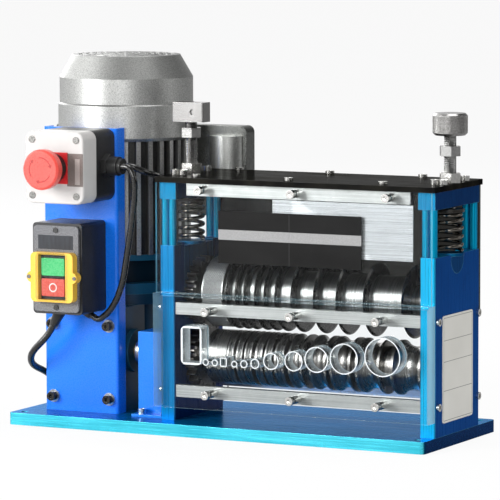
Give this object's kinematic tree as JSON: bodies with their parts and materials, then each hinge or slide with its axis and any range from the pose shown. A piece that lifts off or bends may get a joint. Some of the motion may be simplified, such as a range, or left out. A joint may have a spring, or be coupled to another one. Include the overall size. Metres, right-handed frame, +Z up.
{
  "type": "electric wire stripping machine",
  "caption": "Bench machine that slits the sheath of electric cable between a driven feed roller and a roller of blades, with clear guards, motor, worm gearbox and stop box.",
  "frame": {"origin": "centre of the base plate's underside", "axes": "+X along the rollers to the right, +Y to the back, +Z up"},
  "size_m": [0.4714, 0.383, 0.3716],
  "materials": {
    "base_plate": "glossy",
    "side_block_left": "satin",
    "side_block_right": "satin",
    "spacer_pillars": "satin",
    "top_blocks": "satin",
    "top_plate": "glossy",
    "crossbars": "brushed",
    "upper_guard": "clear",
    "rear_guard": "clear",
    "lower_guard": "clear",
    "cable_guides": "clear",
    "label_panel": "glossy",
    "metal_plates": "brushed",
    "frame_screws": "satin",
    "guard_screws": "satin",
    "lower_bearings": "satin",
    "lower_shaft": "satin",
    "feed_wheels": "knurled",
    "lower_gear": "machined",
    "upper_shaft": "satin",
    "knurled_drum": "knurled",
    "slitting_blades": "ground",
    "blade_spacers": "turned",
    "upper_gear": "machined",
    "bearing_carriages": "satin",
    "spring_left": "oiled",
    "spring_cap_left": "turned",
    "spring_right": "oiled",
    "spring_cap_right": "turned",
    "right_adjuster": "knurled",
    "left_adjuster": "satin",
    "motor_bracket": "satin",
    "bracket_bolts": "zinc plated",
    "gearbox_housing": "painted black",
    "worm_wheel": "machined",
    "coupling_cover": "satin",
    "motor_frame": "cast, painted",
    "motor_end_bell": "hammertone",
    "fan_cowl": "hammertone",
    "motor_rotor": "machined",
    "capacitor_box": "glossy",
    "capacitor_cover": "glossy",
    "estop_base": "glossy",
    "estop_cover": "glossy",
    "estop_legend": "glossy",
    "estop_collar": "glossy",
    "estop_plunger": "matte",
    "estop_button": "satin",
    "cable_glands": "matte",
    "switch_box": "satin",
    "switch_face": "textured",
    "switch_bezel": "glossy",
    "start_button": "glossy",
    "stop_button": "glossy",
    "switch_window": "clear",
    "control_screws": "satin",
    "control_leads": "glossy",
    "mains_cord": "glossy",
    "mains_coil": "glossy",
    "mains_plug": "glossy"
  },
  "bodies": {
    "machine": {"base_plate": "base_plate", "side_block_left": "side_block_left", "side_block_right": "side_block_right", "spacer_pillars": "spacer_pillars", "top_blocks": "top_blocks", "top_plate": "top_plate", "crossbars": "crossbars", "upper_guard": "upper_guard", "rear_guard": "rear_guard", "lower_guard": "lower_guard", "cable_guides": "cable_guides", "label_panel": "label_panel", "metal_plates": "metal_plates", "frame_screws": "frame_screws", "guard_screws": "guard_screws", "lower_bearings": "lower_bearings", "spring_left": "spring_left", "spring_right": "spring_right", "motor_bracket": "motor_bracket", "bracket_bolts": "bracket_bolts", "gearbox_housing": "gearbox_housing", "coupling_cover": "coupling_cover", "motor_frame": "motor_frame", "motor_end_bell": "motor_end_bell", "fan_cowl": "fan_cowl", "capacitor_box": "capacitor_box", "capacitor_cover": "capacitor_cover", "estop_base": "estop_base", "estop_cover": "estop_cover", "estop_legend": "estop_legend", "estop_collar": "estop_collar", "cable_glands": "cable_glands", "switch_box": "switch_box", "switch_face": "switch_face", "switch_bezel": "switch_bezel", "switch_window": "switch_window", "control_screws": "control_screws", "control_leads": "control_leads", "mains_cord": "mains_cord", "mains_coil": "mains_coil", "mains_plug": "mains_plug"},
    "motor_rotor": {"motor_rotor": "motor_rotor"},
    "lower_roller": {"lower_shaft": "lower_shaft", "feed_wheels": "feed_wheels", "lower_gear": "lower_gear", "worm_wheel": "worm_wheel"},
    "carriages": {"bearing_carriages": "bearing_carriages"},
    "upper_roller": {"upper_shaft": "upper_shaft", "knurled_drum": "knurled_drum", "slitting_blades": "slitting_blades", "blade_spacers": "blade_spacers", "upper_gear": "upper_gear"},
    "left_cap": {"spring_cap_left": "spring_cap_left"},
    "left_adjuster": {"left_adjuster": "left_adjuster"},
    "right_cap": {"spring_cap_right": "spring_cap_right"},
    "right_adjuster": {"right_adjuster": "right_adjuster"},
    "estop_plunger": {"estop_plunger": "estop_plunger"},
    "estop_button": {"estop_button": "estop_button"},
    "start_button": {"start_button": "start_button"},
    "stop_button": {"stop_button": "stop_button"}
  },
  "joints": [
    {"name": "motor_spin", "type": "hinge", "parent": "machine", "child": "motor_rotor", "pos_m": [-0.161, 0.04, 0.25], "axis": [0, 0, 1], "continuous": true},
    {"name": "lower_roller_spin", "type": "hinge", "parent": "machine", "child": "lower_roller", "pos_m": [0.08, -0.008, 0.072], "axis": [1, 0, 0], "continuous": true},
    {"name": "roller_lift", "type": "slide", "parent": "machine", "child": "carriages", "axis": [0, 0, 1], "range_m": [0, 0.004], "deforming": ["spring_left", "spring_right"]},
    {"name": "upper_roller_spin", "type": "hinge", "parent": "carriages", "child": "upper_roller", "pos_m": [0.08, -0.008, 0.137], "axis": [1, 0, 0], "continuous": true},
    {"name": "left_cap_slide", "type": "slide", "parent": "machine", "child": "left_cap", "axis": [0, 0, 1], "range_m": [-0.007, 0.00175], "deforming": ["spring_left"]},
    {"name": "left_adjuster_turn", "type": "hinge", "parent": "left_cap", "child": "left_adjuster", "pos_m": [-0.061, -0.008, 0.3], "axis": [0, 0, 1], "range_deg": [-1450, 370]},
    {"name": "right_cap_slide", "type": "slide", "parent": "machine", "child": "right_cap", "axis": [0, 0, 1], "range_m": [-0.007, 0.00175], "deforming": ["spring_right"]},
    {"name": "right_adjuster_turn", "type": "hinge", "parent": "right_cap", "child": "right_adjuster", "pos_m": [0.222, -0.008, 0.3], "axis": [0, 0, 1], "range_deg": [-1450, 370]},
    {"name": "estop_press", "type": "slide", "parent": "machine", "child": "estop_plunger", "axis": [0, 1, 0], "range_m": [0, 0.005], "stiffness_N_per_m": 400},
    {"name": "estop_release", "type": "hinge", "parent": "estop_plunger", "child": "estop_button", "pos_m": [-0.16, -0.125, 0.26325], "axis": [0, 1, 0], "range_deg": [0, 35], "stiffness_Nm_per_rad": 0.05},
    {"name": "start_press", "type": "slide", "parent": "machine", "child": "start_button", "axis": [0, 1, 0], "range_m": [0, 0.003], "stiffness_N_per_m": 300},
    {"name": "stop_press", "type": "slide", "parent": "machine", "child": "stop_button", "axis": [0, 1, 0], "range_m": [0, 0.003], "stiffness_N_per_m": 300}
  ],
  "couplings": [
    {"joint": "lower_roller_spin", "follows": "motor_spin", "ratio": 0.032258},
    {"joint": "upper_roller_spin", "follows": "motor_spin", "ratio": -0.032258},
    {"joint": "left_adjuster_turn", "follows": "left_cap_slide", "rad_per_m": 3590.4},
    {"joint": "right_adjuster_turn", "follows": "right_cap_slide", "rad_per_m": 3590.4}
  ]
}
